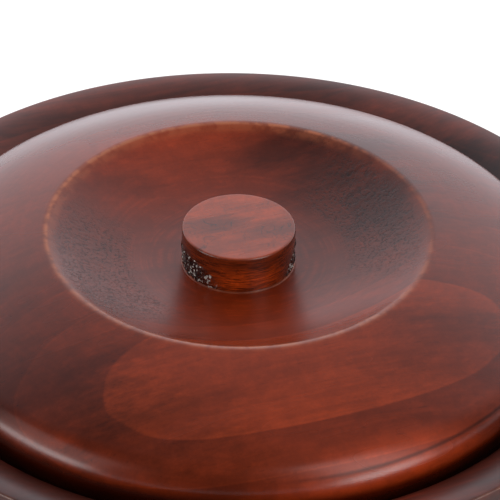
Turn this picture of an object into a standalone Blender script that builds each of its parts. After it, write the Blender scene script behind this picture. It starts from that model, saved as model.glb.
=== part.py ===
# Lidded salad bowl: a turned wooden bowl, a drop-in lid with a dished top, and a knob pegged to the lid.
# Metres, +Z up, origin at the centre of the foot's underside.
import bpy
from math import atan2, cos, hypot, pi, radians, sin, tan

mm = 0.001

# Bowl: rim
rim_radius = 140.5 * mm        # to the outer edge before it is rounded
rim_height = 96.6 * mm
rim_width = 20.0 * mm
rim_fall = 6.6 * mm            # drop of the rim's top from its outer edge to the mouth
rim_inner_slope = radians(28.0)  # fall of the rim's top at the mouth
rim_outer_slope = radians(5.0)   # the same next to the outer edge, so the rim is crowned
rim_arris = 0.8 * mm           # rounding of the rim's outer edge
mouth_round = 2.5 * mm         # rounding of the rim's inner edge

# Bowl: seat for the lid
rebate_depth = 8.0 * mm        # height of the mouth's wall above the ledge
ledge_width = 9.0 * mm
ledge_arris = 1.5 * mm
ledge_drop = 3.0 * mm          # upright edge of the ledge, above the inside wall's curve

# Bowl: wall, floor and foot
flare_angle = radians(14.0)    # lean of the outer wall just under the rim
lip_height = 4.0 * mm          # straight part of the outer wall, next to the rim
floor_thickness = 13.0 * mm
floor_radius = 42.0 * mm       # flat middle of the inside floor
foot_radius = 68.0 * mm
foot_height = 7.0 * mm
foot_width = 10.0 * mm
foot_recess = 4.0 * mm         # depth of the hollow inside the foot ring
foot_arris = 1.0 * mm
belly_width = 8.0 * mm         # step from the foot ring out to the belly's underside
belly_rise = 2.4 * mm          # rise of that step

# Bowl: fullness of the curved walls, as shares of each wall's own width and depth
inside_reach = 0.75
inside_lift = 0.03
inside_drop = 0.5
outside_drop = 0.4
outside_reach = 0.6
outside_lift = 0.17

# Lid
lid_clearance = 2.8 * mm       # gap round the lid's edge, inside the mouth
seat_gap = 0.3 * mm            # gap between faces that rest on each other
lid_height = 39.1 * mm         # from the lid's seat to its crest
lid_side = 11.0 * mm           # from the lid's seat to the middle of its rounded edge
lid_taper = radians(13.0)      # lean of the lid's side, in towards the seat
shoulder_round = 14.0 * mm
lid_arris = 1.5 * mm           # rounding of the lid's lower edge
crest_radius = 68.3 * mm
crest_round = 2.0 * mm
crest_slope = radians(13.0)    # fall of the dome just outside the crest
shoulder_slope = radians(30.0)  # fall of the dome where the shoulder begins
dome_fullness = 1 / 3          # share of the dome's width that each end keeps its slope for
dish_depth = 13.4 * mm         # depth of the dish below the crest
seat_width = 13.0 * mm         # flat ring under the lid's edge
lid_thickness = 11.0 * mm      # under the middle of the dish
cove_round = 10.0 * mm         # inside corner of the lid's hollow underside

# Knob and its peg
knob_radius = 20.15 * mm
knob_base_radius = 19.8 * mm
knob_height = 14.4 * mm
knob_arris = 0.9 * mm
peg_radius = 5.0 * mm
peg_depth_in_lid = 7.0 * mm
peg_depth_in_knob = 9.0 * mm
peg_fit = 0.3 * mm             # gap between the peg and its blind bores

# Fineness of the turned surfaces
bowl_steps = 72
knob_steps = 48
peg_steps = 24
wall_points = 11
dome_points = 8
round_points = 5
edge_points = 3
fillet_limit = 0.9             # largest share of a straight stretch that a rounding may use

# Heights and radii that follow from the sizes above
mouth_radius = rim_radius - rim_width
mouth_height = rim_height - rim_fall
ledge_height = mouth_height - rebate_depth
inner_radius = mouth_radius - ledge_width
lid_radius = mouth_radius - lid_clearance
lid_bottom = ledge_height + seat_gap
crest_height = lid_bottom + lid_height
dish_floor = crest_height - dish_depth
lid_ceiling = dish_floor - lid_thickness
knob_bottom = dish_floor + seat_gap
knob_top = knob_bottom + knob_height
bore_radius = peg_radius + peg_fit


def arc(centre, radius, start, end, steps):
    points = []
    for i in range(steps + 1):
        angle = start + (end - start) * i / steps
        points.append((centre[0] + radius * cos(angle), centre[1] + radius * sin(angle)))
    return points


def bezier(a, b, c, d, steps):
    points = []
    for i in range(steps + 1):
        t = i / steps
        s = 1.0 - t
        weights = (s * s * s, 3 * s * s * t, 3 * s * t * t, t * t * t)
        r = sum(w * p[0] for w, p in zip(weights, (a, b, c, d)))
        z = sum(w * p[1] for w, p in zip(weights, (a, b, c, d)))
        points.append((r, z))
    return points


def fillet(before, corner, after, radius, steps):
    # Arc that rounds the corner between two straight stretches.
    to_before = atan2(before[1] - corner[1], before[0] - corner[0])
    to_after = atan2(after[1] - corner[1], after[0] - corner[0])
    turn = (to_after - to_before + pi) % (2 * pi) - pi
    half = abs(turn) / 2
    reach = min(hypot(before[0] - corner[0], before[1] - corner[1]),
                hypot(after[0] - corner[0], after[1] - corner[1])) * fillet_limit
    radius = min(radius, reach * tan(half))
    middle = to_before + turn / 2
    distance = radius / sin(half)
    centre = (corner[0] + distance * cos(middle), corner[1] + distance * sin(middle))
    sweep = pi - abs(turn)
    side = -1.0 if turn > 0 else 1.0
    start = middle + pi - side * sweep / 2
    return arc(centre, radius, start, start + side * sweep, steps)


def along(point, slope, length):
    # Point reached by going outward and down at a slope.
    return (point[0] + length * cos(slope), point[1] - length * sin(slope))


def bowl_profile():
    rim_outer = (rim_radius, rim_height)
    rim_inner = (mouth_radius, mouth_height)
    ledge_outer = (mouth_radius, ledge_height)
    ledge_inner = (inner_radius, ledge_height)
    under_ledge = (inner_radius, ledge_height - ledge_drop)
    lip_end = (rim_radius - lip_height * tan(flare_angle), rim_height - lip_height)
    belly = (foot_radius + belly_width, foot_height + belly_rise)
    foot_top = (foot_radius, foot_height)
    foot_outer = (foot_radius, 0.0)
    foot_inner = (foot_radius - foot_width, 0.0)
    recess = (foot_radius - foot_width, foot_recess)
    rim_reach = rim_width / 3
    rim_top = bezier(rim_inner, (rim_inner[0] + rim_reach, rim_inner[1] + rim_reach * tan(rim_inner_slope)),
                     (rim_outer[0] - rim_reach, rim_outer[1] - rim_reach * tan(rim_outer_slope)),
                     rim_outer, round_points)
    span = inner_radius - floor_radius
    depth = under_ledge[1] - floor_thickness
    flank = lip_end[0] - belly[0]
    drop = lip_end[1] - belly[1]

    profile = [(0.0, floor_thickness)]
    profile += bezier((floor_radius, floor_thickness),
                      (floor_radius + span * inside_reach, floor_thickness + depth * inside_lift),
                      (inner_radius, under_ledge[1] - depth * inside_drop),
                      under_ledge, wall_points)
    profile += fillet(under_ledge, ledge_inner, ledge_outer, ledge_arris, edge_points)
    profile += [ledge_outer]
    profile += fillet(ledge_outer, rim_inner, rim_top[1], mouth_round, edge_points)
    profile += rim_top[1:-1]
    profile += fillet(rim_top[-2], rim_outer, lip_end, rim_arris, edge_points)
    upper_drop = drop * outside_drop
    profile += bezier(lip_end, (lip_end[0] - upper_drop * tan(flare_angle), lip_end[1] - upper_drop),
                      (belly[0] + flank * outside_reach, belly[1] + drop * outside_lift), belly, wall_points)
    profile += [foot_top]
    profile += fillet(foot_top, foot_outer, foot_inner, foot_arris, edge_points)
    profile += fillet(foot_outer, foot_inner, recess, foot_arris, edge_points)
    profile += [recess, (0.0, foot_recess)]
    return profile


def lid_profile():
    crest = (crest_radius, crest_height)
    shoulder = (lid_radius - shoulder_round, lid_bottom + lid_side)
    dome_end = (shoulder[0] + shoulder_round * sin(shoulder_slope),
                shoulder[1] + shoulder_round * cos(shoulder_slope))
    dome_width = hypot(dome_end[0] - crest[0], dome_end[1] - crest[1])
    dome = bezier(crest, along(crest, crest_slope, dome_width * dome_fullness),
                  along(dome_end, shoulder_slope, -dome_width * dome_fullness), dome_end, dome_points)
    dish_span = crest_radius - knob_base_radius
    dish = bezier((knob_base_radius, dish_floor), (knob_base_radius + dish_span / 3, dish_floor),
                  (knob_base_radius + dish_span * 2 / 3, dish_floor + dish_depth / 3), crest, dome_points)
    seat_inner = (lid_radius - seat_width, lid_bottom)
    side_end = (shoulder[0] + shoulder_round * cos(lid_taper), shoulder[1] - shoulder_round * sin(lid_taper))
    seat_outer = (side_end[0] - (side_end[1] - lid_bottom) * tan(lid_taper), lid_bottom)
    cove = (seat_inner[0], lid_ceiling)
    bore_end = dish_floor - peg_depth_in_lid - seat_gap

    profile = [(0.0, bore_end), (bore_radius, bore_end), (bore_radius, dish_floor)]
    profile += dish[:-1]
    profile += fillet(dish[-2], crest, dome[1], crest_round, edge_points)
    profile += dome[1:]
    profile += arc(shoulder, shoulder_round, pi / 2 - shoulder_slope, -lid_taper, round_points)[1:]
    profile += fillet(side_end, seat_outer, seat_inner, lid_arris, edge_points)
    profile += [seat_inner]
    profile += fillet(seat_inner, cove, (0.0, lid_ceiling), cove_round, round_points)
    profile += [(0.0, lid_ceiling)]
    return profile


def knob_profile():
    top_edge = (knob_radius, knob_top)
    base_edge = (knob_base_radius, knob_bottom)
    bore_end = knob_bottom + peg_depth_in_knob + seat_gap

    profile = [(0.0, knob_top)]
    profile += fillet((0.0, knob_top), top_edge, base_edge, knob_arris, edge_points)
    profile += [base_edge, (bore_radius, knob_bottom), (bore_radius, bore_end), (0.0, bore_end)]
    return profile


def peg_profile():
    top = knob_bottom + peg_depth_in_knob
    bottom = dish_floor - peg_depth_in_lid
    return [(0.0, top), (peg_radius, top), (peg_radius, bottom), (0.0, bottom)]


def wood(name, colour, roughness):
    material = bpy.data.materials.new(name)
    material.use_nodes = True
    shader = material.node_tree.nodes["Principled BSDF"]
    shader.inputs["Base Color"].default_value = (*colour, 1.0)
    shader.inputs["Roughness"].default_value = roughness
    shader.inputs["Metallic"].default_value = 0.0
    return material


def turned(name, profile, steps, material, collection, parent, axis_point):
    # The profile is a half section in the XZ plane, swept once round Z about the piece's own origin.
    mesh = bpy.data.meshes.new(name)
    points = [(r, 0.0, z - axis_point) for r, z in profile]
    edges = [(i, i + 1) for i in range(len(points) - 1)]
    mesh.from_pydata(points, edges, [])
    mesh.materials.append(material)
    piece = bpy.data.objects.new(name, mesh)
    piece.location = (0.0, 0.0, axis_point) if parent is None else (0.0, 0.0, 0.0)
    piece.parent = parent
    collection.objects.link(piece)
    screw = piece.modifiers.new("Turning", 'SCREW')
    screw.axis = 'Z'
    screw.angle = 2 * pi
    screw.steps = steps
    screw.render_steps = steps
    screw.use_merge_vertices = True
    screw.merge_threshold = 0.00001
    screw.use_smooth_shade = True
    return piece


def build():
    for item in list(bpy.data.objects):
        bpy.data.objects.remove(item, do_unlink=True)
    collection = bpy.data.collections.new("lidded_salad_bowl")
    bpy.context.scene.collection.children.link(collection)

    lid_lift = bpy.data.objects.new("lid_lift", None)
    lid_lift.location = (0.0, 0.0, lid_bottom)
    collection.objects.link(lid_lift)

    stained = wood("stained_wood", (0.13, 0.038, 0.022), 0.3)
    stained_lid = wood("stained_wood_lid", (0.16, 0.045, 0.026), 0.28)
    stained_knob = wood("stained_wood_knob", (0.18, 0.055, 0.03), 0.3)
    pale = wood("pale_peg_wood", (0.55, 0.38, 0.22), 0.6)

    turned("bowl", bowl_profile(), bowl_steps, stained, collection, None, 0.0)
    turned("lid", lid_profile(), bowl_steps, stained_lid, collection, lid_lift, lid_bottom)
    turned("lid_knob", knob_profile(), knob_steps, stained_knob, collection, lid_lift, lid_bottom)
    turned("knob_peg", peg_profile(), peg_steps, pale, collection, lid_lift, lid_bottom)


build()
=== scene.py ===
from math import atan2, cos, hypot, pi, radians, sin, tan
import bpy
from mathutils import Matrix, Vector


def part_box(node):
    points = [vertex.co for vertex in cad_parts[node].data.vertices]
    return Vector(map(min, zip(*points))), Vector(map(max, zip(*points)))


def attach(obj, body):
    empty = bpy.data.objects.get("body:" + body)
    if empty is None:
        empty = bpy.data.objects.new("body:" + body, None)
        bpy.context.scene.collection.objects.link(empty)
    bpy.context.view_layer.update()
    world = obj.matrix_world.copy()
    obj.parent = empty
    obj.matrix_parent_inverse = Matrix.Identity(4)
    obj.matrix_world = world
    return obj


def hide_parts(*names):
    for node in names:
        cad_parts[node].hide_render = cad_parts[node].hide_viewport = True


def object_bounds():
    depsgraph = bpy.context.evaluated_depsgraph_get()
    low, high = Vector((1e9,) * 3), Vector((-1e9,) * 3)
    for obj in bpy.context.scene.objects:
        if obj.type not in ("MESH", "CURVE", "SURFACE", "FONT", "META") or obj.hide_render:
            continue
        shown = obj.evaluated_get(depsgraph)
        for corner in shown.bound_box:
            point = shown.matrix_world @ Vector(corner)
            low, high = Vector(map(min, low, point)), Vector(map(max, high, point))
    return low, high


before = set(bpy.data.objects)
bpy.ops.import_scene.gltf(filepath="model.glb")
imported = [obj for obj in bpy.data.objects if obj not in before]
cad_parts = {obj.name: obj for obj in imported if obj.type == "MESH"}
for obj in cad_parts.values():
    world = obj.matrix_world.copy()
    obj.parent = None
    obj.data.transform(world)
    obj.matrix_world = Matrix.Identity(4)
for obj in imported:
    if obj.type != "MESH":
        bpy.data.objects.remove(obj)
cadLow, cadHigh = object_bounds()
mm = 0.001
print("frame loaded:", sorted(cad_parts))

# sizes read from the frame; the rest of each outline is beside its own piece
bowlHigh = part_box("bowl")[1]
lidLow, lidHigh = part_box("lid")
knobLow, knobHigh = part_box("lid_knob")
pegLow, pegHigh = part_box("knob_peg")
grainAngle = radians(20.0)  # the grain of every board, turned from the X axis
fullEndGrain = 0.96  # how squarely a wall has to cut the grain to count as all end grain
axisGuard = 0.1 * mm  # keeps a division by the radius off zero


# outline helpers: points are (radius, height)

def arcPoints(centre, radius, start, end, steps):
    points = []
    for i in range(steps + 1):
        angle = start + (end - start) * i / steps
        points.append((centre[0] + radius * cos(angle), centre[1] + radius * sin(angle)))
    return points


def bezierPoints(a, b, c, d, steps):
    points = []
    for i in range(steps + 1):
        t = i / steps
        s = 1.0 - t
        weights = (s * s * s, 3 * s * s * t, 3 * s * t * t, t * t * t)
        r = sum(w * p[0] for w, p in zip(weights, (a, b, c, d)))
        z = sum(w * p[1] for w, p in zip(weights, (a, b, c, d)))
        points.append((r, z))
    return points


def linePoints(a, b, steps):  # leaves out both ends
    points = []
    for i in range(1, steps):
        points.append((a[0] + (b[0] - a[0]) * i / steps, a[1] + (b[1] - a[1]) * i / steps))
    return points


def roundCorner(before, corner, after, radius, steps):
    toBefore = atan2(before[1] - corner[1], before[0] - corner[0])
    toAfter = atan2(after[1] - corner[1], after[0] - corner[0])
    turn = (toAfter - toBefore + pi) % (2 * pi) - pi
    half = abs(turn) / 2
    middle = toBefore + turn / 2
    distance = radius / sin(half)
    centre = (corner[0] + distance * cos(middle), corner[1] + distance * sin(middle))
    sweep = pi - abs(turn)
    side = -1.0 if turn > 0 else 1.0
    start = middle + pi - side * sweep / 2
    return arcPoints(centre, radius, start, start + side * sweep, steps)


def downSlope(point, slope, length):
    return (point[0] + length * cos(slope), point[1] - length * sin(slope))


# node helpers

def put(tree, kind, inputs=None, **settings):
    node = tree.nodes.new(kind)
    for key, value in settings.items():
        setattr(node, key, value)
    for key, value in (inputs or {}).items():
        if isinstance(value, bpy.types.NodeSocket):
            tree.links.new(value, node.inputs[key])
        else:
            node.inputs[key].default_value = value
    return node


def calc(tree, operation, a, b=0.0, c=0.0, clamp=False):
    node = put(tree, 'ShaderNodeMath', {0: a, 1: b, 2: c}, operation=operation, use_clamp=clamp)
    return node.outputs[0]


def times(tree, *values):
    product = values[0]
    for value in values[1:]:
        product = calc(tree, 'MULTIPLY', product, value)
    return product


def darken(tree, tone, amount):
    return times(tree, tone, calc(tree, 'SUBTRACT', 1.0, amount))


def apart(tree, value, target):
    return calc(tree, 'ABSOLUTE', calc(tree, 'SUBTRACT', value, target))


def reachOf(tree, a, b):
    return calc(tree, 'SQRT', calc(tree, 'ADD', times(tree, a, a), times(tree, b, b)))


def vectorCalc(tree, operation, a, b=(0.0, 0.0, 0.0)):
    node = put(tree, 'ShaderNodeVectorMath', {0: a, 1: b}, operation=operation)
    return node.outputs["Value" if operation in ('LENGTH', 'DOT_PRODUCT') else 0]


def axes(tree, vector):
    return put(tree, 'ShaderNodeSeparateXYZ', {0: vector}).outputs


def stretched(tree, vector, scale):
    return put(tree, 'ShaderNodeMapping', {"Vector": vector, "Scale": scale}).outputs[0]


def spread(tree, value, low, high, toLow=0.0, toHigh=1.0):
    node = put(tree, 'ShaderNodeMapRange', {"Value": value, "From Min": low, "From Max": high,
                                            "To Min": toLow, "To Max": toHigh})
    node.interpolation_type = 'SMOOTHSTEP'
    return node.outputs["Result"]


def swing(tree, value, low, high, amount):  # 1, give or take the amount
    return spread(tree, value, low, high, 1.0 - amount, 1.0 + amount)


def noise(tree, vector, scale, detail=2.0, roughness=0.5, distortion=0.0):
    node = put(tree, 'ShaderNodeTexNoise', {"Vector": vector, "Scale": scale, "Detail": detail,
                                            "Roughness": roughness, "Distortion": distortion})
    return node.outputs[0]


def lineNoise(tree, value, detail):
    node = put(tree, 'ShaderNodeTexNoise', {"W": value, "Scale": 1.0, "Detail": detail},
               noise_dimensions='1D')
    return node.outputs[0]


def mixColours(tree, share, first, second, clamp=True):
    node = put(tree, 'ShaderNodeMix', {0: share, 6: first, 7: second}, data_type='RGBA', clamp_factor=clamp)
    return node.outputs[2]


def mixNumbers(tree, share, first, second):
    return put(tree, 'ShaderNodeMix', {0: share, 2: first, 3: second}, data_type='FLOAT').outputs[0]


def newMaterial(name):
    material = bpy.data.materials.new(name)
    material.use_nodes = True
    material.node_tree.nodes.clear()
    return material


# the lathe: one outline carried round the axis, with tool rings and torn end grain on the surface

latheNumbers = ("Ring Depth", "Ring Pitch", "Tear Depth", "Tear Size", "Tear From", "Tear To", "Tear Low",
                "Tear High", "Tear Spread", "Grain Angle", "Seed")
latheEdges = {"merge": 0.002 * mm, "ends": 4 * mm, "low": 0.5 * mm, "top": mm}


def latheTree():
    tree = bpy.data.node_groups.new("turnedOnLathe", 'GeometryNodeTree')
    tree.is_modifier = True
    wanted = [("Outline", 'NodeSocketGeometry'), ("Turns", 'NodeSocketInt')]
    wanted += [(label, 'NodeSocketFloat') for label in latheNumbers]
    wanted += [("Wood", 'NodeSocketMaterial')]
    for label, kind in wanted:
        tree.interface.new_socket(name=label, in_out='INPUT', socket_type=kind)
    tree.interface.new_socket(name="Surface", in_out='OUTPUT', socket_type='NodeSocketGeometry')
    given = put(tree, 'NodeGroupInput').outputs

    # a grid with one column per turn step and one row per outline point
    count = put(tree, 'GeometryNodeAttributeDomainSize', {"Geometry": given["Outline"]},
                component='MESH').outputs["Point Count"]
    columns = calc(tree, 'ADD', given["Turns"], 1.0)
    grid = put(tree, 'GeometryNodeMeshGrid', {"Vertices X": columns, "Vertices Y": count}).outputs["Mesh"]
    index = put(tree, 'GeometryNodeInputIndex').outputs[0]
    row = calc(tree, 'MODULO', index, count)
    column = calc(tree, 'FLOOR', calc(tree, 'DIVIDE', calc(tree, 'ADD', index, 0.5), count))
    place = put(tree, 'GeometryNodeInputPosition').outputs[0]
    sample = put(tree, 'GeometryNodeSampleIndex', {"Geometry": given["Outline"], "Index": row},
                 data_type='FLOAT_VECTOR', domain='POINT')
    tree.links.new(place, next(s for s in sample.inputs if s.name == "Value" and s.enabled))
    point = axes(tree, next(s for s in sample.outputs if s.enabled))
    angle = times(tree, calc(tree, 'DIVIDE', column, given["Turns"]), 2 * pi)
    swept = put(tree, 'ShaderNodeCombineXYZ', {"X": times(tree, point["X"], calc(tree, 'COSINE', angle)),
                                               "Y": times(tree, point["X"], calc(tree, 'SINE', angle)),
                                               "Z": point["Z"]}).outputs[0]
    turned = put(tree, 'GeometryNodeSetPosition', {"Geometry": grid, "Position": swept}).outputs[0]
    closed = put(tree, 'GeometryNodeMergeByDistance', {"Geometry": turned,
                                                       "Distance": latheEdges["merge"]}).outputs[0]

    # tool rings follow the radius, torn fibres lie where the wall cuts across the grain
    here = axes(tree, place)
    radius = reachOf(tree, here["X"], here["Y"])
    ringPlace = calc(tree, 'ADD', calc(tree, 'DIVIDE', radius, given["Ring Pitch"]), given["Seed"])
    rings = lineNoise(tree, ringPlace, 2.0)
    ringLift = times(tree, calc(tree, 'SUBTRACT', rings, 0.5), given["Ring Depth"])
    along = calc(tree, 'ADD', times(tree, here["X"], calc(tree, 'COSINE', given["Grain Angle"])),
                 times(tree, here["Y"], calc(tree, 'SINE', given["Grain Angle"])))
    endwise = calc(tree, 'ABSOLUTE', calc(tree, 'DIVIDE', along, calc(tree, 'ADD', radius, axisGuard)))
    endGrain = spread(tree, endwise, given["Tear Spread"], fullEndGrain)
    ends, low, topEdge = latheEdges["ends"], latheEdges["low"], latheEdges["top"]
    inner = spread(tree, calc(tree, 'SUBTRACT', radius, given["Tear From"]), -ends, ends)
    outer = spread(tree, calc(tree, 'SUBTRACT', given["Tear To"], radius), -ends, ends)
    above = spread(tree, calc(tree, 'SUBTRACT', here["Z"], given["Tear Low"]), -low, low)
    tallest = calc(tree, 'SUBTRACT', given["Tear High"], given["Tear Low"])
    top = calc(tree, 'MULTIPLY_ADD', endGrain, tallest, given["Tear Low"])  # lower where end grain runs out
    below = spread(tree, calc(tree, 'SUBTRACT', top, here["Z"]), -topEdge, topEdge)
    zone = times(tree, times(tree, inner, outer), times(tree, above, below))
    torn = noise(tree, place, calc(tree, 'DIVIDE', 1.0, given["Tear Size"]), 3.0, 0.6)
    pits = times(tree, spread(tree, torn, 0.48, 0.68), times(tree, zone, endGrain))
    tearLift = times(tree, pits, times(tree, given["Tear Depth"], -1.0))
    normal = put(tree, 'GeometryNodeInputNormal').outputs[0]
    lift = put(tree, 'ShaderNodeVectorMath', {0: normal, "Scale": calc(tree, 'ADD', ringLift, tearLift)},
               operation='SCALE').outputs[0]
    worked = put(tree, 'GeometryNodeSetPosition', {"Geometry": closed, "Offset": lift}).outputs[0]
    smooth = put(tree, 'GeometryNodeSetShadeSmooth', {"Geometry": worked}).outputs[0]
    real = put(tree, 'GeometryNodeRealizeInstances', {"Geometry": smooth}).outputs[0]
    coated = put(tree, 'GeometryNodeSetMaterial', {"Geometry": real, "Material": given["Wood"]}).outputs[0]
    put(tree, 'NodeGroupOutput', {"Surface": coated})
    return tree


latheWork = {"Turns": 384, "Ring Depth": 0.03 * mm, "Ring Pitch": 1.6 * mm, "Tear Depth": 0.0,
             "Tear Size": 2.0 * mm, "Tear From": 0.0, "Tear To": 1.0, "Tear Low": -1.0, "Tear High": 1.0,
             "Tear Spread": 0.72, "Grain Angle": grainAngle, "Seed": 3.0}
lathe = latheTree()


def turnPiece(name, outline, work, material, body, node):
    mesh = bpy.data.meshes.new(name + "Outline")
    mesh.from_pydata([(r, 0.0, z) for r, z in outline], [(i, i + 1) for i in range(len(outline) - 1)], [])
    blank = bpy.data.objects.new(name + "Blank", mesh)
    bpy.context.scene.collection.objects.link(blank)
    modifier = blank.modifiers.new("lathe", 'NODES')
    modifier.node_group = lathe
    values = {**latheWork, **work, "Wood": material}
    for item in lathe.interface.items_tree:
        if item.in_out == 'INPUT' and item.name in values:
            modifier[item.identifier] = values[item.name]
    shaped = blank.evaluated_get(bpy.context.evaluated_depsgraph_get())
    piece = bpy.data.objects.new(name, bpy.data.meshes.new_from_object(shaped))
    bpy.data.objects.remove(blank)
    bpy.context.scene.collection.objects.link(piece)
    piece.data.name = name
    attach(piece, body)
    if node:
        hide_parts(node)
    print("turned", name, len(piece.data.vertices), "points")


# stained wood under satin lacquer: growth rings about a pith line, fibres, stain clouds, torn end grain, with
# some painted light, shade and glints

woodGrain = {"cloudStretch": (0.22, 1.0, 1.0), "fibreStretch": (0.045, 1.0, 1.0),
             "poreStretch": (0.09, 1.0, 1.0), "wallStretch": (0.08, 0.08, 1.0),
             "fibreScale": 420.0, "poreScale": 1300.0, "speckScale": 900.0, "glintScale": 800.0,
             "wallScale": 2200.0, "heartEdge": 0.3 * mm, "outerReach": 45 * mm,
             "fadeFrom": 12 * mm, "fadeTo": 50 * mm,
             "darkPart": 0.7, "linePlace": 0.97, "lineWidth": 0.035, "veinWidth": 0.022,
             "toolStrong": 35 * mm, "toolFaint": 60 * mm, "toolLeft": 0.3, "brokenLeft": 0.15,
             "cloudRun": 1.6, "fibreRun": 0.6, "patchCore": 0.4, "patchEdge": 1.25,
             "wearAndHighlightLeft": 0.35, "wearAndHighlightMost": 1.2, "tearStart": 4 * mm, "tearEnd": 3 * mm,
             "glintColour": (0.75, 0.7, 0.65, 1.0), "sheenSwing": 0.03, "tornSheen": 0.12,
             "dishEdge": 64 * mm, "dishInside": 54 * mm}


def woodPlaces(tree):
    place = put(tree, 'ShaderNodeTexCoord').outputs["Object"]
    board = put(tree, 'ShaderNodeMapping', {"Vector": place, "Rotation": (0.0, 0.0, -grainAngle)}).outputs[0]
    there = axes(tree, board)
    flat = put(tree, 'ShaderNodeCombineXYZ', {"X": there["X"], "Y": there["Y"]}).outputs[0]
    return {"place": place, "board": board, "own": axes(tree, place), "there": there,
            "drawn": stretched(tree, board, woodGrain["cloudStretch"]),
            "radius": vectorCalc(tree, 'LENGTH', flat)}


def woodNoise(tree, at, wood):
    fibrePlace = stretched(tree, at["board"], woodGrain["fibreStretch"])
    return {"fibre": noise(tree, fibrePlace, woodGrain["fibreScale"], 4.0, 0.65),
            "cloud": noise(tree, at["drawn"], wood["cloudScale"], 3.0, 0.55, 0.4),
            "speck": noise(tree, at["board"], woodGrain["speckScale"], 3.0, 0.7),
            "mottle": noise(tree, at["board"], wood["mottleScale"], 3.0, 0.6),
            "toolRing": lineNoise(tree, calc(tree, 'DIVIDE', at["radius"], wood["toolPitch"]), 3.0)}


def growthRings(tree, at, wood):  # each starts dark and ends in a pale line; they fade away from the pith
    there = at["there"]
    wander = calc(tree, 'SUBTRACT', noise(tree, at["drawn"], wood["wanderScale"]), 0.5)
    ahead = calc(tree, 'SUBTRACT', there["X"], wood["pithStart"])
    across = calc(tree, 'SUBTRACT', there["Y"], wood["pithAcross"])
    across = calc(tree, 'MULTIPLY_ADD', ahead, -wood["pithLean"], across)
    height = calc(tree, 'SUBTRACT', there["Z"], wood["pithHeight"])
    height = calc(tree, 'MULTIPLY_ADD', ahead, wood["pithFall"], height)
    fromPith = reachOf(tree, across, height)
    ringPlace = calc(tree, 'SUBTRACT', fromPith, wood["firstRing"])
    ringPlace = calc(tree, 'MULTIPLY_ADD', wander, wood["wander"], ringPlace)
    ring = calc(tree, 'FRACT', calc(tree, 'DIVIDE', ringPlace, wood["ringPitch"]))
    edge = woodGrain["heartEdge"]
    heart = spread(tree, ringPlace, -edge, edge, 1.0, wood["heartTone"])  # paler inside the first ring
    level = times(tree, heart, spread(tree, ringPlace, 0.0, woodGrain["outerReach"], 1.0, wood["outerTone"]))
    fade = spread(tree, fromPith, wood["firstRing"] + woodGrain["fadeFrom"],
                  wood["firstRing"] + woodGrain["fadeTo"], 1.0, wood["farRings"])
    start = spread(tree, ring, 0.0, woodGrain["darkPart"], -wood["ringTone"], 0.0)
    paleLine = spread(tree, apart(tree, ring, woodGrain["linePlace"]), woodGrain["lineWidth"], 0.0,
                      0.0, wood["lineTone"])
    ringTone = calc(tree, 'MULTIPLY_ADD', calc(tree, 'ADD', start, paleLine), fade, level)
    return mixColours(tree, ringTone, (*wood["late"], 1.0), (*wood["early"], 1.0), clamp=False)


def ringNear(tree, at, edge):  # 1 on a ring round the axis, 0 away from it
    away = apart(tree, at["radius"], edge["radius"])
    rise = apart(tree, at["own"]["Z"], edge["height"])
    near = spread(tree, calc(tree, 'ADD', away, rise), edge["width"], 0.0)
    if edge["side"]:  # stronger on one side
        facing = vectorCalc(tree, 'DOT_PRODUCT', at["place"], edge["side"])
        facing = calc(tree, 'DIVIDE', facing, edge["radius"])
        near = times(tree, near, spread(tree, facing, *edge["fade"], edge["least"], 1.0))
    return near


def grainTone(tree, at, field, wood):
    cloud, mottle, height = field["cloud"], field["mottle"], at["there"]["Z"]
    tone = times(tree, swing(tree, field["fibre"], 0.3, 0.7, wood["fibre"]),
                 swing(tree, cloud, 0.3, 0.7, wood["cloud"]))
    pores = noise(tree, stretched(tree, at["board"], woodGrain["poreStretch"]), woodGrain["poreScale"], 1.0)
    tone = darken(tree, tone, times(tree, spread(tree, pores, 0.66, 0.8), wood["pore"]))
    tone = times(tree, tone, swing(tree, field["speck"], 0.35, 0.65, wood["speckle"]))
    toolShade = times(tree, spread(tree, field["toolRing"], 0.35, 0.65, -wood["toolTone"], wood["toolTone"]),
                      spread(tree, at["radius"], woodGrain["toolStrong"], woodGrain["toolFaint"],
                             1.0, woodGrain["toolLeft"]),
                      spread(tree, mottle, 0.42, 0.6, woodGrain["brokenLeft"], 1.0))
    tone = times(tree, tone, calc(tree, 'ADD', 1.0, toolShade))
    tone = times(tree, tone, swing(tree, mottle, 0.35, 0.65, wood["mottle"]))
    if wood["toolLine"]:  # a dark line left by the tool round the edge, which shows on one side
        line = ringNear(tree, at, wood["toolLine"])
        tone = darken(tree, tone, times(tree, line, wood["toolLine"]["amount"]))
    if wood["vein"]:  # thin dark lines in the figure
        vein = noise(tree, at["board"], wood["veinScale"], 3.0, 0.6, 0.8)
        veinLine = times(tree, spread(tree, apart(tree, vein, 0.5), woodGrain["veinWidth"], 0.0),
                         spread(tree, cloud, 0.56, 0.42, 0.0, wood["vein"]),
                         spread(tree, height, wood["lineTop"] - mm, wood["lineTop"]))
        tone = darken(tree, tone, veinLine)
    if wood["wallLine"]:  # fine tool lines round an upright wall
        wallPlace = stretched(tree, at["place"], woodGrain["wallStretch"])
        wallLine = spread(tree, noise(tree, wallPlace, woodGrain["wallScale"], 3.0, 0.6), 0.38, 0.62,
                          -wood["wallLine"], wood["wallLine"])
        wallLine = times(tree, wallLine, spread(tree, height, wood["lineTop"], wood["lineTop"] - mm))
        tone = times(tree, tone, calc(tree, 'ADD', 1.0, wallLine))
    return tone


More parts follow.
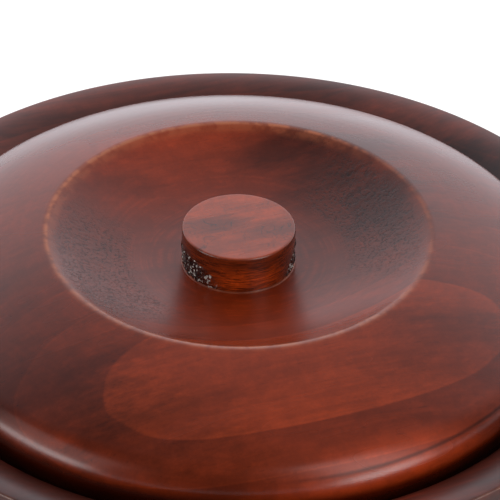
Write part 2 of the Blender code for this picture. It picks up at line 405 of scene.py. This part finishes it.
def stainAndLightTone(tree, at, field, wood, tone):
    cloudRun = calc(tree, 'SUBTRACT', field["cloud"], 0.5)
    fibreRun = calc(tree, 'SUBTRACT', field["fibre"], 0.5)
    for patch in wood["stainAndLightPatches"]:  # places that took more stain, or less, and places of painted light and shade; all run out along the fibres
        offset = vectorCalc(tree, 'SUBTRACT', at["board"], patch["centre"])
        edge = vectorCalc(tree, 'LENGTH', vectorCalc(tree, 'DIVIDE', offset, patch["size"]))
        edge = calc(tree, 'MULTIPLY_ADD', cloudRun, woodGrain["cloudRun"], edge)
        edge = calc(tree, 'MULTIPLY_ADD', fibreRun, woodGrain["fibreRun"], edge)
        tone = times(tree, tone, spread(tree, edge, woodGrain["patchCore"], woodGrain["patchEdge"],
                                        patch["tone"], 1.0))
    radius, height = at["radius"], at["there"]["Z"]
    for paintedShadeBand in wood["paintedShadeBands"]:  # painted shade: darker low on a wall, in gaps and towards edges
        inside = times(tree, spread(tree, radius, paintedShadeBand["from"] - mm, paintedShadeBand["from"] + mm),
                       spread(tree, radius, paintedShadeBand["to"] + mm, paintedShadeBand["to"] - mm),
                       spread(tree, height, paintedShadeBand["above"] - mm, paintedShadeBand["above"] + mm))
        leaning = calc(tree, 'MULTIPLY_ADD', at["own"]["X"], paintedShadeBand["lean"], height)
        deep = spread(tree, leaning, paintedShadeBand["high"], paintedShadeBand["low"], 0.0, 1.0 - paintedShadeBand["tone"])
        tone = darken(tree, tone, times(tree, inside, deep))
    return tone


def wearAndHighlightShare(tree, at, field, wood):  # worn edges as broken rings round the axis; some are painted highlights on edges
    wearAndHighlight = 0.0
    broken = spread(tree, field["mottle"], 0.38, 0.6, woodGrain["wearAndHighlightLeft"], woodGrain["wearAndHighlightMost"])
    for edge in wood["wearAndHighlight"]:
        near = times(tree, ringNear(tree, at, edge), edge["amount"], broken)
        wearAndHighlight = calc(tree, 'ADD', wearAndHighlight, near, clamp=True)
    return wearAndHighlight


def tornZone(tree, at, tear):  # where the fibres of the end grain tore out
    radius, there = at["radius"], at["there"]
    endwise = calc(tree, 'ABSOLUTE', calc(tree, 'DIVIDE', there["X"], calc(tree, 'ADD', radius, axisGuard)))
    endGrain = spread(tree, endwise, tear["spread"], fullEndGrain)
    start, end = woodGrain["tearStart"], woodGrain["tearEnd"]
    top = calc(tree, 'MULTIPLY_ADD', endGrain, tear["high"] - tear["low"], tear["low"])
    return times(tree, spread(tree, radius, tear["from"] - start, tear["from"] + start),
                 spread(tree, radius, tear["to"] + end, tear["to"] - end),
                 spread(tree, calc(tree, 'SUBTRACT', top, there["Z"]), -mm, mm), endGrain)


def stainedWood(name, wood):
    material = newMaterial(name)
    tree = material.node_tree
    at = woodPlaces(tree)
    field = woodNoise(tree, at, wood)
    tear = wood["tear"]
    zone = tornZone(tree, at, tear)
    torn = times(tree, zone, spread(tree, field["speck"], 0.45, 0.65))

    # colour: the rings' stain, toned by grain, stain patches, painted light and shade and tears, then bare
    # wood, painted edge highlights and painted glints
    tone = stainAndLightTone(tree, at, field, wood, grainTone(tree, at, field, wood))
    tone = darken(tree, tone, times(tree, zone, tear["shade"]))
    tone = darken(tree, tone, times(tree, torn, tear["dark"]))
    toned = put(tree, 'ShaderNodeVectorMath', {0: growthRings(tree, at, wood), "Scale": tone},
                operation='SCALE').outputs[0]
    colour = mixColours(tree, wearAndHighlightShare(tree, at, field, wood), toned, (*wood["bareAndHighlight"], 1.0))
    # painted glints: pale specks on the torn end grain, standing for the lacquer's sparkle
    paintedGlints = noise(tree, at["board"], woodGrain["glintScale"], 1.0)
    paintedGlints = times(tree, spread(tree, paintedGlints, 0.57, 0.65, 0.0, tear["paintedGlints"]), spread(tree, zone, 0.35, 0.6))
    colour = mixColours(tree, paintedGlints, colour, woodGrain["glintColour"])

    # relief of the fibres, the tool rings and the torn spots, in metres
    relief = times(tree, field["fibre"], wood["fibreRelief"])
    relief = calc(tree, 'MULTIPLY_ADD', field["toolRing"], wood["toolRelief"], relief)
    relief = calc(tree, 'MULTIPLY_ADD', torn, -tear["relief"], relief)
    bump = put(tree, 'ShaderNodeBump', {"Height": relief, "Strength": 1.0, "Distance": 1.0}).outputs[0]

    # sheen of the lacquer, duller where the fibres tore and inside the dish
    sheen = spread(tree, field["cloud"], 0.3, 0.7, wood["roughness"] - woodGrain["sheenSwing"],
                   wood["roughness"] + woodGrain["sheenSwing"])
    sheen = calc(tree, 'ADD', sheen, times(tree, torn, woodGrain["tornSheen"]))
    inDish = spread(tree, at["radius"], woodGrain["dishEdge"], woodGrain["dishInside"],
                    0.0, wood["dishRough"])
    sheen = calc(tree, 'ADD', sheen, inDish)
    shader = put(tree, 'ShaderNodeBsdfPrincipled', {"Base Color": colour, "Roughness": sheen, "Normal": bump,
                                                    "IOR": wood["lacquer"]})
    put(tree, 'ShaderNodeOutputMaterial', {"Surface": shader.outputs[0]})
    print("mixed finish", name)
    return material


# lid

lidRadius = lidHigh.x
lidBottom = lidLow.z
lid = {
    "shape": {"shoulderRound": 14.0 * mm, "side": 11.0 * mm, "taper": radians(13.0), "lowerArris": 1.5 * mm,
              "domeFullness": 1 / 3, "crestRadius": 68.3 * mm, "crestHeight": 39.1 * mm,
              "crestRound": 4.2 * mm, "crestSlope": radians(13.0), "shoulderSlope": radians(30.0),
              "dishDepth": 13.4 * mm, "knobBase": 19.8 * mm, "seatWidth": 13.0 * mm, "thickness": 11.0 * mm,
              "coveRound": 10.0 * mm, "boreRadius": 5.3 * mm, "boreDepth": 7.3 * mm},
    "work": {"Turns": 512, "Ring Depth": 0.035 * mm, "Ring Pitch": 1.4 * mm, "Tear Depth": 0.09 * mm,
             "Tear Size": 1.6 * mm, "Tear From": 48 * mm, "Tear To": 65 * mm, "Tear Low": 0.1,
             "Tear Spread": 0.74}}
crestTop = lidBottom + lid["shape"]["crestHeight"]
dishFloor = crestTop - lid["shape"]["dishDepth"]
noTear = {"from": 1.0, "to": 1.1, "spread": 0.9, "low": 0.0, "high": 0.0, "shade": 0.0, "dark": 0.0,
          "relief": 0.0, "paintedGlints": 0.0}
wearAndHighlightFade = (0.0, 0.8)
lid["wood"] = {
    "pithAcross": -82.5 * mm, "pithHeight": 161.0 * mm, "pithStart": -69.0 * mm, "pithLean": 0.014,
    "pithFall": 0.005, "firstRing": 51.0 * mm, "ringPitch": 13.5 * mm,
    "wander": 9.0 * mm, "wanderScale": 22.0,
    "late": (0.06, 0.004, 0.0006), "early": (0.27, 0.028, 0.0024), "bareAndHighlight": (0.42, 0.11, 0.04),
    "heartTone": 0.69, "outerTone": 0.68, "farRings": 0.2, "ringTone": 0.12, "lineTone": 0.12,
    "fibre": 0.09, "cloud": 0.19, "cloudScale": 26.0, "mottle": 0.09, "mottleScale": 170.0, "speckle": 0.05,
    "pore": 0.24, "vein": 0.0, "veinScale": 90.0, "wallLine": 0.0, "lineTop": 0.0,
    "roughness": 0.27, "dishRough": 0.035, "lacquer": 1.57,
    "toolPitch": 1.8 * mm, "toolTone": 0.15, "fibreRelief": 0.002 * mm, "toolRelief": 0.011 * mm,
    "toolLine": {"radius": 115.3 * mm, "height": 101.1 * mm, "width": 1.7 * mm, "amount": 0.6,
                 "side": (0.64, -0.77, 0.0), "least": 0.0, "fade": (0.84, 0.97)},
    "stainAndLightPatches": [{"centre": (0.035, 0.0488, 0.1172), "size": (0.022, 0.008, 0.02), "tone": 0.5},
                {"centre": (0.0556, 0.036, 0.1203), "size": (0.026, 0.014, 0.02), "tone": 0.55},
                {"centre": (0.0575, 0.0048, 0.1162), "size": (0.016, 0.022, 0.02), "tone": 0.55},
                {"centre": (0.047, -0.007, 0.115), "size": (0.034, 0.034, 0.03), "tone": 0.75},
                {"centre": (-0.02, 0.058, 0.115), "size": (0.05, 0.028, 0.02), "tone": 1.45},
                {"centre": (-0.0458, 0.0301, 0.115), "size": (0.014, 0.024, 0.02), "tone": 0.88},
                {"centre": (-0.0322, 0.0472, 0.1159), "size": (0.02, 0.008, 0.02), "tone": 0.75},
                {"centre": (-0.09, -0.035, 0.114), "size": (0.05, 0.04, 0.018), "tone": 0.66},
                # painted highlight: lighter where the right of the lid's nose catches the light
                {"centre": (0.016, -0.112, 0.0965), "size": (0.042, 0.02, 0.0105), "tone": 2.9},
                {"centre": (0.0031, 0.0638, 0.119), "size": (0.035, 0.008, 0.02), "tone": 1.35},
                # painted highlight: lighter where the left of the lid's nose catches the light
                {"centre": (-0.0885, -0.075, 0.0983), "size": (0.045, 0.03, 0.006), "tone": 2.0},
                {"centre": (0.0433, -0.0886, 0.1116), "size": (0.045, 0.026, 0.02), "tone": 0.75},
                {"centre": (0.0397, 0.0218, 0.1117), "size": (0.016, 0.022, 0.02), "tone": 0.76},
                {"centre": (-0.0597, -0.094, 0.105), "size": (0.04, 0.02, 0.02), "tone": 0.95},
                {"centre": (-0.0947, -0.0552, 0.106), "size": (0.03, 0.035, 0.02), "tone": 0.92},
                {"centre": (0.0535, -0.0976, 0.1051), "size": (0.03, 0.035, 0.02), "tone": 0.9},
                {"centre": (-0.0603, -0.0872, 0.108), "size": (0.036, 0.014, 0.02), "tone": 0.72},
                {"centre": (-0.0932, -0.0538, 0.1071), "size": (0.03, 0.026, 0.02), "tone": 0.76},
                {"centre": (0.0674, -0.0514, 0.1168), "size": (0.034, 0.02, 0.02), "tone": 0.74},
                {"centre": (0.0, 0.0, 0.112), "size": (0.062, 0.062, 0.03), "tone": 1.18}],
    # painted shade: the first band darkens the lower edge in the gap above the rim, the second darkens the
    # dome towards its edge
    "paintedShadeBands": [{"from": 0.1, "to": 0.2, "above": 60 * mm, "low": 92.6 * mm, "high": 97.2 * mm,
              "lean": 0.026, "tone": 0.32},
             {"from": 0.08, "to": 0.2, "above": 60 * mm, "low": 98.5 * mm, "high": 108.5 * mm,
              "lean": 0.0, "tone": 0.72}],
    "wearAndHighlight": [{"radius": 68.1 * mm, "height": crestTop - 0.2 * mm, "width": 1.6 * mm, "amount": 0.8,
              "side": (-0.6, 0.8, 0.0), "least": 0.35, "fade": wearAndHighlightFade},
             {"radius": 20.1 * mm, "height": dishFloor + 0.25 * mm, "width": 0.9 * mm, "amount": 0.5,
              "side": None},
             {"radius": 66.5 * mm, "height": crestTop - 0.8 * mm, "width": 5.0 * mm, "amount": 0.3,
              "side": (-0.5, 0.87, 0.0), "least": 0.0, "fade": wearAndHighlightFade},
             # painted highlight: a lighter line along the front of the crest
             {"radius": 67.4 * mm, "height": crestTop - 0.4 * mm, "width": 3.6 * mm, "amount": 0.5,
              "side": (0.0, -1.0, 0.0), "least": 0.1, "fade": wearAndHighlightFade}],
    "tear": {"from": 38 * mm, "to": 65 * mm, "spread": 0.62, "low": 0.1, "high": 1.0, "shade": 0.04,
             "dark": 0.6, "relief": 0.035 * mm, "paintedGlints": 0.0}}


def lidOutline(shape):
    crest = (shape["crestRadius"], crestTop)
    shoulder = (lidRadius - shape["shoulderRound"], lidBottom + shape["side"])
    domeEnd = (shoulder[0] + shape["shoulderRound"] * sin(shape["shoulderSlope"]),
               shoulder[1] + shape["shoulderRound"] * cos(shape["shoulderSlope"]))
    domeReach = hypot(domeEnd[0] - crest[0], domeEnd[1] - crest[1]) * shape["domeFullness"]
    dome = bezierPoints(crest, downSlope(crest, shape["crestSlope"], domeReach),
                        downSlope(domeEnd, shape["shoulderSlope"], -domeReach), domeEnd, 46)
    dishSpan = shape["crestRadius"] - shape["knobBase"]
    dish = bezierPoints((shape["knobBase"], dishFloor), (shape["knobBase"] + dishSpan / 3, dishFloor),
                        (shape["knobBase"] + dishSpan * 2 / 3, dishFloor + shape["dishDepth"] / 3), crest, 54)
    seatInner = (lidRadius - shape["seatWidth"], lidBottom)
    sideEnd = (shoulder[0] + shape["shoulderRound"] * cos(shape["taper"]),
               shoulder[1] - shape["shoulderRound"] * sin(shape["taper"]))
    seatOuter = (sideEnd[0] - (sideEnd[1] - lidBottom) * tan(shape["taper"]), lidBottom)
    ceiling = dishFloor - shape["thickness"]
    cove = (seatInner[0], ceiling)
    boreEnd = dishFloor - shape["boreDepth"]
    shoulderStart = pi / 2 - shape["shoulderSlope"]
    outline = [(0.0, boreEnd), (shape["boreRadius"], boreEnd), (shape["boreRadius"], dishFloor)]
    outline += dish[:-3]
    outline += roundCorner(dish[-4], crest, dome[3], shape["crestRound"], 7)
    outline += dome[3:]
    outline += arcPoints(shoulder, shape["shoulderRound"], shoulderStart, -shape["taper"], 18)[1:]
    edge = roundCorner(sideEnd, seatOuter, seatInner, shape["lowerArris"], 5)
    outline += linePoints(sideEnd, edge[0], 5)
    outline += edge
    outline += [seatInner]
    outline += roundCorner(seatInner, cove, (0.0, ceiling), shape["coveRound"], 10)
    outline += linePoints((seatInner[0] - shape["coveRound"], ceiling), (0.0, ceiling), 12)
    outline += [(0.0, ceiling)]
    return outline


# knob, and the peg that holds it

knob = {
    "shape": {"baseRadius": 19.8 * mm, "arris": 0.7 * mm, "boreRadius": 5.3 * mm, "boreDepth": 9.3 * mm},
    "work": {"Turns": 320, "Ring Depth": 0.02 * mm, "Ring Pitch": 1.1 * mm, "Tear Depth": 0.55 * mm,
             "Tear Size": 1.7 * mm, "Tear From": 17 * mm, "Tear To": 40 * mm, "Tear Spread": 0.4,
             "Tear Low": knobLow.z - 0.5 * mm, "Tear High": knobLow.z + 8.5 * mm},
    "wood": {**lid["wood"], "early": (0.34, 0.04, 0.0035), "heartTone": 0.95, "outerTone": 0.95,
             "farRings": 0.1, "cloud": 0.3, "cloudScale": 80.0, "vein": 0.5, "veinScale": 100.0,
             "speckle": 0.1, "wallLine": 0.55, "lineTop": knobHigh.z - 0.6 * mm, "dishRough": 0.0,
             "lacquer": 1.72, "toolLine": None, "toolTone": 0.02,
             "stainAndLightPatches": [{"centre": (-0.006, 0.003, 0.1225), "size": (0.013, 0.006, 0.003), "tone": 0.62},
                         {"centre": (0.012, -0.004, 0.1225), "size": (0.012, 0.006, 0.003), "tone": 0.7},
                         # painted light: the front of the knob's side lightened where the light falls
                         {"centre": (-0.004, -0.0187, 0.1115), "size": (0.016, 0.014, 0.0065), "tone": 3.4}],
             # painted shade: the knob's side darkened below its top edge
             "paintedShadeBands": [{"from": 19 * mm, "to": 30 * mm, "above": 90 * mm, "low": knobHigh.z - 0.5 * mm,
                       "high": knobHigh.z + 0.1 * mm, "lean": 0.0, "tone": 0.4}],
             "wearAndHighlight": [{"radius": knobHigh.x - 0.2 * mm, "height": knobHigh.z - 0.2 * mm, "width": 0.7 * mm,
                       "amount": 0.08, "side": None}],
             # painted glints: pale specks on the knob's torn end grain
             "tear": {"from": 17 * mm, "to": 40 * mm, "spread": 0.4, "low": knobLow.z - 0.5 * mm,
                      "high": knobLow.z + 8.5 * mm, "shade": 0.7, "dark": 0.9, "relief": 0.25 * mm,
                      "paintedGlints": 0.95}}}


def knobOutline(shape):
    topEdge = (knobHigh.x, knobHigh.z)
    baseEdge = (shape["baseRadius"], knobLow.z)
    boreEnd = knobLow.z + shape["boreDepth"]
    outline = [(0.0, knobHigh.z)]
    outline += linePoints((0.0, knobHigh.z), (topEdge[0] - shape["arris"], knobHigh.z), 28)
    outline += roundCorner((0.0, knobHigh.z), topEdge, baseEdge, shape["arris"], 6)
    outline += linePoints((topEdge[0], topEdge[1] - shape["arris"]), baseEdge, 32)
    outline += [baseEdge, (shape["boreRadius"], knobLow.z), (shape["boreRadius"], boreEnd), (0.0, boreEnd)]
    return outline


peg = {
    "shape": {"arris": 0.6 * mm},
    "work": {"Turns": 48},
    "wood": {**lid["wood"], "late": (0.42, 0.27, 0.15), "early": (0.6, 0.43, 0.26), "bareAndHighlight": (0.6, 0.45, 0.3),
             "roughness": 0.6, "toolLine": None, "stainAndLightPatches": [], "paintedShadeBands": [], "wearAndHighlight": [], "tear": noTear}}


def pegOutline(shape):
    radius = pegHigh.x
    top = (radius, pegHigh.z)
    bottom = (radius, pegLow.z)
    outline = [(0.0, pegHigh.z)]
    outline += roundCorner((0.0, pegHigh.z), top, bottom, shape["arris"], 4)
    outline += roundCorner(top, bottom, (0.0, pegLow.z), shape["arris"], 4)
    outline += [(0.0, pegLow.z)]
    return outline


# lacquer that gathered in the corner between the knob and the dish

bead = {
    "shape": {"width": 0.55 * mm, "height": 0.5 * mm, "sink": 0.15 * mm, "clear": 0.02 * mm, "lip": 0.05 * mm,
              "hollow": ((0.1 * mm, 0.15 * mm), (0.2 * mm, 0.08 * mm))},
    "work": {"Turns": 256, "Ring Depth": 0.0}}


def beadOutline(shape):
    inner = knob["shape"]["baseRadius"] + shape["clear"]
    low = dishFloor - shape["sink"]
    high = dishFloor + shape["height"]
    hollow = [(inner + out, dishFloor + up) for out, up in shape["hollow"]]
    outline = [(inner, low), (inner, high)]
    outline += bezierPoints((inner + shape["lip"], high), *hollow, (inner + shape["width"], dishFloor), 6)
    outline += [(inner + shape["width"], low), (inner, low)]
    return outline


# bowl

bowl = {
    "shape": {"rimRadius": 140.5 * mm, "rimHeight": 96.6 * mm, "rimWidth": 20.0 * mm, "rimFall": 6.6 * mm,
              "rimInnerSlope": radians(33.0), "rimOuterSlope": radians(-8.0), "crownGap": 0.3 * mm,
              "rimArris": 0.8 * mm, "mouthRound": 3.0 * mm, "rebateDepth": 8.0 * mm, "ledgeWidth": 9.0 * mm,
              "ledgeArris": 1.5 * mm, "ledgeDrop": 3.0 * mm, "flareAngle": radians(14.0),
              "lipHeight": 4.0 * mm, "floorThickness": 13.0 * mm, "floorRadius": 42.0 * mm,
              "footRadius": 68.0 * mm, "footHeight": 7.0 * mm, "footWidth": 10.0 * mm, "footRecess": 4.0 * mm,
              "footArris": 1.0 * mm, "bellyWidth": 8.0 * mm, "bellyRise": 2.4 * mm, "insideReach": 0.75,
              "insideLift": 0.03, "insideDrop": 0.5, "outsideDrop": 0.4, "outsideReach": 0.6,
              "outsideLift": 0.17},
    "work": {"Turns": 400, "Ring Depth": 0.03 * mm, "Ring Pitch": 2.0 * mm},
    "wood": {**lid["wood"], "pithLean": 0.0, "pithFall": 0.0, "pithAcross": 30 * mm, "pithHeight": -210 * mm,
             "firstRing": 20 * mm, "ringPitch": 11 * mm, "late": (0.055, 0.0055, 0.0014),
             "early": (0.205, 0.021, 0.003), "bareAndHighlight": (0.5, 0.22, 0.1), "heartTone": 0.8, "outerTone": 0.75,
             "farRings": 0.6, "ringTone": 0.4, "lineTone": 0.2, "fibre": 0.22, "cloud": 0.35, "mottle": 0.1,
             "roughness": 0.4, "dishRough": 0.0, "lacquer": 1.72, "toolLine": None,
             "stainAndLightPatches": [{"centre": (0.063, -0.119, 0.093), "size": (0.06, 0.05, 0.05), "tone": 0.5},
                         {"centre": (-0.11, -0.067, 0.093), "size": (0.06, 0.05, 0.05), "tone": 0.62},
                         # painted shade: the inner edge of the rim at the back right darkened
                         {"centre": (0.111, 0.0555, 0.0905), "size": (0.05, 0.03, 0.005), "tone": 0.35}],
             # painted shade: the bowl's mouth darkened in the gap under the lid
             "paintedShadeBands": [{"from": 113.0 * mm, "to": 127.0 * mm, "above": 78 * mm, "low": 88.5 * mm,
                       "high": 91.8 * mm, "lean": 0.0, "tone": 0.3}],
             # wear and painted highlight: a lighter line along the rim's outer arris
             "wearAndHighlight": [{"radius": bowlHigh.x - 0.3 * mm, "height": bowlHigh.z - 0.4 * mm, "width": 0.9 * mm,
                       "amount": 0.32, "side": None}],
             "tear": noTear}}


def bowlOutline(shape):
    mouthRadius = shape["rimRadius"] - shape["rimWidth"]
    mouthHeight = shape["rimHeight"] - shape["rimFall"]
    ledgeHeight = mouthHeight - shape["rebateDepth"]
    innerRadius = mouthRadius - shape["ledgeWidth"]
    rimOuter = (shape["rimRadius"], shape["rimHeight"])
    rimInner = (mouthRadius, mouthHeight)
    ledgeOuter = (mouthRadius, ledgeHeight)
    ledgeInner = (innerRadius, ledgeHeight)
    underLedge = (innerRadius, ledgeHeight - shape["ledgeDrop"])
    lipEnd = (shape["rimRadius"] - shape["lipHeight"] * tan(shape["flareAngle"]),
              shape["rimHeight"] - shape["lipHeight"])
    belly = (shape["footRadius"] + shape["bellyWidth"], shape["footHeight"] + shape["bellyRise"])
    footTop = (shape["footRadius"], shape["footHeight"])
    footOuter = (shape["footRadius"], 0.0)
    footInner = (shape["footRadius"] - shape["footWidth"], 0.0)
    recess = (footInner[0], shape["footRecess"])
    floor = (shape["floorRadius"], shape["floorThickness"])

    # the rim's crown, then its rounded edges with the crown's points between them
    rimReach = shape["rimWidth"] / 3
    crownInner = (rimInner[0] + rimReach, rimInner[1] + rimReach * tan(shape["rimInnerSlope"]))
    crownOuter = (rimOuter[0] - rimReach, rimOuter[1] - rimReach * tan(shape["rimOuterSlope"]))
    rimTop = bezierPoints(rimInner, crownInner, crownOuter, rimOuter, 24)
    mouth = roundCorner(ledgeOuter, rimInner, rimTop[2], shape["mouthRound"], 10)
    outer = roundCorner(rimTop[-2], rimOuter, lipEnd, shape["rimArris"], 7)
    crownStart = mouth[-1][0] + shape["crownGap"]
    crownEnd = outer[0][0] - shape["crownGap"]

    # handles of the curved inside and outside
    span = innerRadius - floor[0]
    depth = underLedge[1] - floor[1]
    flank = lipEnd[0] - belly[0]
    drop = lipEnd[1] - belly[1]
    insideLow = (floor[0] + span * shape["insideReach"], floor[1] + depth * shape["insideLift"])
    insideHigh = (innerRadius, underLedge[1] - depth * shape["insideDrop"])
    outsideHigh = (lipEnd[0] - drop * shape["outsideDrop"] * tan(shape["flareAngle"]),
                   lipEnd[1] - drop * shape["outsideDrop"])
    outsideLow = (belly[0] + flank * shape["outsideReach"], belly[1] + drop * shape["outsideLift"])

    outline = [(0.0, floor[1])]
    outline += linePoints((0.0, floor[1]), floor, 12)
    outline += bezierPoints(floor, insideLow, insideHigh, underLedge, 50)
    outline += roundCorner(underLedge, ledgeInner, ledgeOuter, shape["ledgeArris"], 5)
    outline += [ledgeOuter]
    outline += mouth
    outline += [point for point in rimTop if crownStart < point[0] < crownEnd]
    outline += outer
    outline += bezierPoints(lipEnd, outsideHigh, outsideLow, belly, 56)
    outline += [footTop]
    outline += roundCorner(footTop, footOuter, footInner, shape["footArris"], 5)
    outline += roundCorner(footOuter, footInner, recess, shape["footArris"], 5)
    outline += [recess]
    outline += linePoints(recess, (0.0, recess[1]), 10)
    outline += [(0.0, recess[1])]
    return outline


lidFinish = stainedWood("lidWood", lid["wood"])
turnPiece("lidShell", lidOutline(lid["shape"]), lid["work"], lidFinish, "lid_body", "lid")
knobFinish = stainedWood("knobWood", knob["wood"])
turnPiece("knobTurned", knobOutline(knob["shape"]), knob["work"], knobFinish,
          "lid_body", "lid_knob")
pegFinish = stainedWood("pegWood", peg["wood"])
turnPiece("pegTurned", pegOutline(peg["shape"]), peg["work"], pegFinish, "lid_body", "knob_peg")
turnPiece("lacquerBead", beadOutline(bead["shape"]), bead["work"], lidFinish, "lid_body", None)
bowlFinish = stainedWood("bowlWood", bowl["wood"])
turnPiece("bowlShell", bowlOutline(bowl["shape"]), bowl["work"], bowlFinish, "bowl_body", "bowl")


# floor, light and camera

stageLook = {"floorSize": 8.0, "floorColour": (0.52, 0.52, 0.52), "floorShown": 0.7, "floorMirrored": 1.35,
             "shadeFrom": 0.55, "shadeTo": 0.24, "footOpening": 66 * mm, "sweepTint": (0.955, 0.97, 1.06)}


def sweepColour(tree, path, tint):  # white to the eye, slightly cool in the lacquer
    return mixColours(tree, path["Is Glossy Ray"], (1.0, 1.0, 1.0, 1.0), (*tint, 1.0))


def layFloor(look):
    half = look["floorSize"] / 2
    mesh = bpy.data.meshes.new("floor")
    mesh.from_pydata([(-half, -half, 0.0), (half, -half, 0.0), (half, half, 0.0), (-half, half, 0.0)], [],
                     [(0, 1, 2, 3)])
    floor = bpy.data.objects.new("floor", mesh)
    bpy.context.scene.collection.objects.link(floor)
    material = newMaterial("paleFloor")
    tree = material.node_tree
    path = put(tree, 'ShaderNodeLightPath').outputs
    away = vectorCalc(tree, 'LENGTH', put(tree, 'ShaderNodeTexCoord').outputs["Object"])

    # white all over, with painted shade in the lacquer's view of the floor near the bowl, and the shadow
    # stays
    shown = times(tree, path["Is Camera Ray"], look["floorShown"])
    mirrored = calc(tree, 'ADD', path["Is Glossy Ray"], path["Is Transmission Ray"], clamp=True)
    near = spread(tree, away, look["shadeTo"], look["shadeFrom"], 0.0, look["floorMirrored"])
    seen = calc(tree, 'MULTIPLY_ADD', mirrored, near, shown)
    matt = put(tree, 'ShaderNodeBsdfDiffuse', {"Color": (*look["floorColour"], 1.0)}).outputs[0]
    tint = sweepColour(tree, path, look["sweepTint"])
    white = put(tree, 'ShaderNodeEmission', {"Color": tint, "Strength": seen}).outputs[0]
    both = put(tree, 'ShaderNodeAddShader', {0: matt, 1: white}).outputs[0]

    # clear from below, and open under the foot, so that a view from below gets through and the foot is lit
    under = put(tree, 'ShaderNodeNewGeometry').outputs["Backfacing"]
    under = calc(tree, 'MAXIMUM', under, calc(tree, 'LESS_THAN', away, look["footOpening"]))
    clear = put(tree, 'ShaderNodeBsdfTransparent').outputs[0]
    oneSided = put(tree, 'ShaderNodeMixShader', {0: under, 1: both, 2: clear})
    put(tree, 'ShaderNodeOutputMaterial', {"Surface": oneSided.outputs[0]})
    mesh.materials.append(material)


roomLook = {"ambient": 0.85, "ambientFront": 0.5, "behind": 1.0, "horizon": 1.05, "overhead": 0.36,
            "front": 0.0, "sweepTint": stageLook["sweepTint"]}


def paintRoom(look):
    world = bpy.data.worlds.new("room")
    bpy.context.scene.world = world
    world.use_nodes = True
    tree = world.node_tree
    tree.nodes.clear()
    path = put(tree, 'ShaderNodeLightPath').outputs
    way = axes(tree, put(tree, 'ShaderNodeTexCoord').outputs["Generated"])

    # in the lacquer: a white sweep behind, a dim room in front, and little overhead
    sweep = times(tree, spread(tree, way["Y"], -0.1, 0.6, look["front"], look["behind"]),
                  spread(tree, way["Z"], 0.4, 0.1, 1.0, look["horizon"]))
    roof = spread(tree, way["Z"], 0.5, 0.95)
    overhead = spread(tree, way["Y"], -0.2, 0.5, 0.0, look["overhead"])
    glossy = calc(tree, 'ADD', darken(tree, sweep, roof), times(tree, roof, overhead))
    ambient = spread(tree, way["Y"], -0.8, 0.2, look["ambientFront"], look["ambient"])
    level = mixNumbers(tree, path["Is Glossy Ray"], ambient, glossy)
    shown = mixNumbers(tree, path["Is Camera Ray"], level, 1.0)
    tint = sweepColour(tree, path, look["sweepTint"])
    light = put(tree, 'ShaderNodeBackground', {"Color": tint, "Strength": shown})
    put(tree, 'ShaderNodeOutputWorld', {"Surface": light.outputs[0]})


softboxes = {"leftStrip": {"place": (-1.02, -0.57, 0.18), "size": (0.7, 0.22), "power": 2.4},
             "leftWall": {"place": (-1.01, -0.58, 0.62), "size": (0.9, 0.6), "power": 1.3},
             "rightStrip": {"place": (0.83, -0.83, 0.17), "size": (0.5, 0.28), "power": 2.4},
             "rightWall": {"place": (0.86, -0.80, 0.60), "size": (0.7, 0.6), "power": 0.7},
             "rightCard": {"place": (0.64, -0.66, 0.87), "size": (0.45, 0.8), "power": 2.0, "card": True},
             "backBox": {"place": (0.0, 1.5, 0.75), "size": (3.0, 1.4), "power": 2.0}}


def hangSoftboxes(boxes):
    aim = Vector((0.0, 0.0, cadHigh.z))
    for name, box in boxes.items():
        lamp = bpy.data.lights.new(name, 'AREA')
        lamp.shape = 'RECTANGLE'
        lamp.size, lamp.size_y = box["size"]
        lamp.energy = box["power"]
        holder = bpy.data.objects.new(name, lamp)
        holder.location = box["place"]
        holder.visible_diffuse = not box.get("card")  # a card shows in the lacquer only
        holder.rotation_euler = (aim - Vector(box["place"])).to_track_quat('-Z', 'Y').to_euler()
        bpy.context.scene.collection.objects.link(holder)


photoView = {"lens": 236.4, "sensor": 36.0, "elevation": radians(35.92), "roll": radians(1.25),
             "distance": 1.1747, "aside": -4.41 * mm, "above": -13.18 * mm, "aimHeight": 96.0 * mm}


def setCamera(view):
    ahead = Vector((0.0, cos(view["elevation"]), -sin(view["elevation"])))
    right = Vector((1.0, 0.0, 0.0))
    up = right.cross(ahead)
    rolledRight = right * cos(view["roll"]) + up * sin(view["roll"])
    rolledUp = up * cos(view["roll"]) - right * sin(view["roll"])
    spot = Vector((0.0, 0.0, view["aimHeight"])) - ahead * view["distance"]
    spot -= rolledRight * view["aside"] + rolledUp * view["above"]
    data = bpy.data.cameras.new("photoCamera")
    data.lens = view["lens"]
    data.sensor_width = view["sensor"]
    camera = bpy.data.objects.new("photoCamera", data)
    turned = Matrix((rolledRight, rolledUp, -ahead)).transposed().to_4x4()
    camera.matrix_world = Matrix.Translation(spot) @ turned
    bpy.context.scene.collection.objects.link(camera)
    bpy.context.scene.camera = camera


layFloor(stageLook)
paintRoom(roomLook)
hangSoftboxes(softboxes)
setCamera(photoView)
bpy.context.scene.view_settings.view_transform = 'Standard'
print("stage set")
